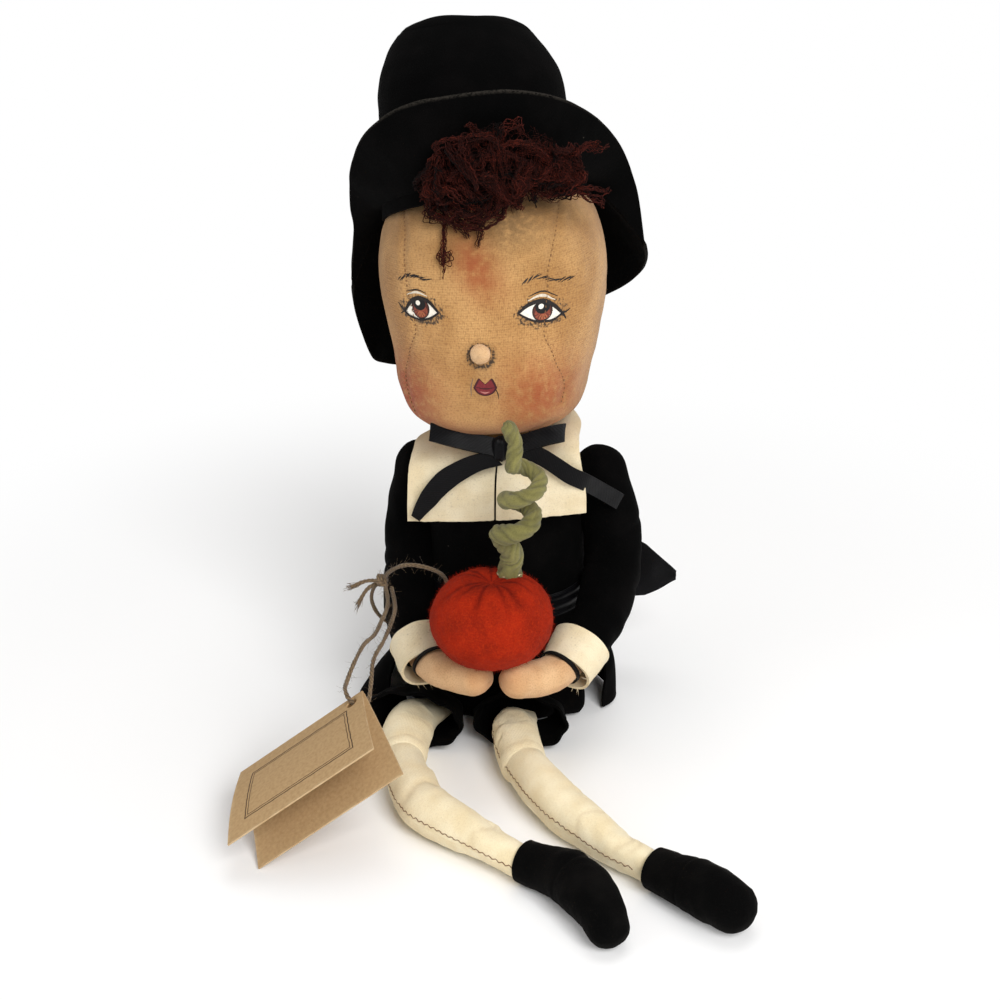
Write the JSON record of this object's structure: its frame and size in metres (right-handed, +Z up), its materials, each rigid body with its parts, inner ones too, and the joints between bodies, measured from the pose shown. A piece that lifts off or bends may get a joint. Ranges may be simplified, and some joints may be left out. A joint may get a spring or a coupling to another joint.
{
  "type": "pilgrim doll",
  "caption": "Seated stuffed cloth doll in a black coat, breeches and wide-brimmed hat, holding a felted pumpkin, with a folded card tag hung on twine from its arm",
  "frame": {"origin": "centre of the flat seat, on the ground", "axes": "+Z up, -Y the way the doll faces, +X to the doll's left"},
  "size_m": [0.2718, 0.3218, 0.3947],
  "materials": {
    "muslin": "tea-stained cotton muslin, stuffed",
    "stocking": "cream cotton, stuffed",
    "skin": "peach cotton, stuffed",
    "velvet": "black velveteen",
    "felt": "black wool felt",
    "satin": "black satin ribbon",
    "linen": "cream cotton with raw edges",
    "wool": "needle-felted orange wool",
    "sage": "olive cotton, stuffed tube",
    "yarn": "dark auburn curly yarn",
    "card": "kraft card",
    "jute": "jute twine",
    "wood": "plain birch",
    "steel": "soft annealed wire",
    "pellets": "bag of plastic pellets",
    "board": "stiff card"
  },
  "bodies": {
    "torso": {"seat_panel": "board", "torso": "muslin", "weight_bag": "pellets", "neck": "muslin", "neck_dowel": "wood", "coat_body": "velvet", "coat_skirt": "velvet", "sash": "satin", "sash_knot": "satin", "sash_end_left": "satin", "sash_loop_right": "satin", "sash_end_right": "satin", "collar": "linen", "neck_ribbon": "satin", "bow_knot": "satin", "bow_loop_right": "satin", "bow_loop_left": "satin", "bow_tail_right": "satin", "bow_tail_left": "satin"},
    "head": {"head": "muslin", "nose": "skin", "hat_crown": "felt", "hat_top": "felt", "hat_brim": "felt", "hair_left": "yarn", "hair_right": "yarn", "hair_forelock": "yarn", "hair_nape": "yarn"},
    "left_arm": {"left_sleeve": "velvet", "left_arm": "skin", "left_arm_wire": "steel", "left_cuff": "linen", "left_cuff_trim": "satin", "pumpkin": "wool", "pumpkin_stem": "sage"},
    "right_arm": {"right_sleeve": "velvet", "right_arm": "skin", "right_arm_wire": "steel", "right_cuff": "linen", "right_cuff_trim": "satin", "twine_loop": "jute", "twine_knot": "jute"},
    "left_leg": {"left_thigh": "stocking", "left_breeches": "velvet"},
    "left_foot": {"left_shin": "stocking", "left_shoe": "felt"},
    "right_leg": {"right_thigh": "stocking", "right_breeches": "velvet"},
    "right_foot": {"right_shin": "stocking", "right_shoe": "felt"},
    "tag": {"twine_strand": "jute", "tag_back": "card"},
    "tag_cover": {"tag_cover": "card"}
  },
  "joints": [
    {"name": "head_turn", "type": "hinge", "parent": "torso", "child": "head", "pos_m": [0, 0, 0.176], "axis": [-0.0872, 0, 0.9962], "range_deg": [-20, 20]},
    {"name": "left_shoulder", "type": "hinge", "parent": "torso", "child": "left_arm", "pos_m": [0.05, 0, 0.146], "axis": [-1, 0, 0], "range_deg": [-1, 12], "deforming": ["bow_tail_left"]},
    {"name": "right_shoulder", "type": "hinge", "parent": "torso", "child": "right_arm", "pos_m": [-0.05, 0, 0.146], "axis": [-1, 0, 0], "range_deg": [-1, 12]},
    {"name": "left_hip", "type": "hinge", "parent": "torso", "child": "left_leg", "pos_m": [0.015, -0.036, 0.009], "axis": [-1, 0, 0], "range_deg": [-65, 4]},
    {"name": "right_hip", "type": "hinge", "parent": "torso", "child": "right_leg", "pos_m": [-0.022, -0.036, 0.009], "axis": [-1, 0, 0], "range_deg": [-65, 4]},
    {"name": "left_knee", "type": "hinge", "parent": "left_leg", "child": "left_foot", "pos_m": [0.023, -0.095, 0.0128], "axis": [0, 0, 1], "range_deg": [-5, 30]},
    {"name": "right_knee", "type": "hinge", "parent": "right_leg", "child": "right_foot", "pos_m": [-0.043, -0.098, 0.0128], "axis": [0, 0, 1], "range_deg": [-30, 5]},
    {"name": "tag_swing", "type": "hinge", "parent": "right_arm", "child": "tag", "pos_m": [-0.064, -0.043, 0.091], "axis": [-1, 0, 0], "range_deg": [0, 40]},
    {"name": "tag_open", "type": "hinge", "parent": "tag", "child": "tag_cover", "pos_m": [-0.0567, -0.1331, 0.073], "axis": [-0.79, -0.156, -0.593], "range_deg": [-18, 90], "deforming": ["twine_strand"]}
  ],
  "couplings": [
    {"joint": "right_shoulder", "follows": "left_shoulder", "ratio": 1}
  ]
}
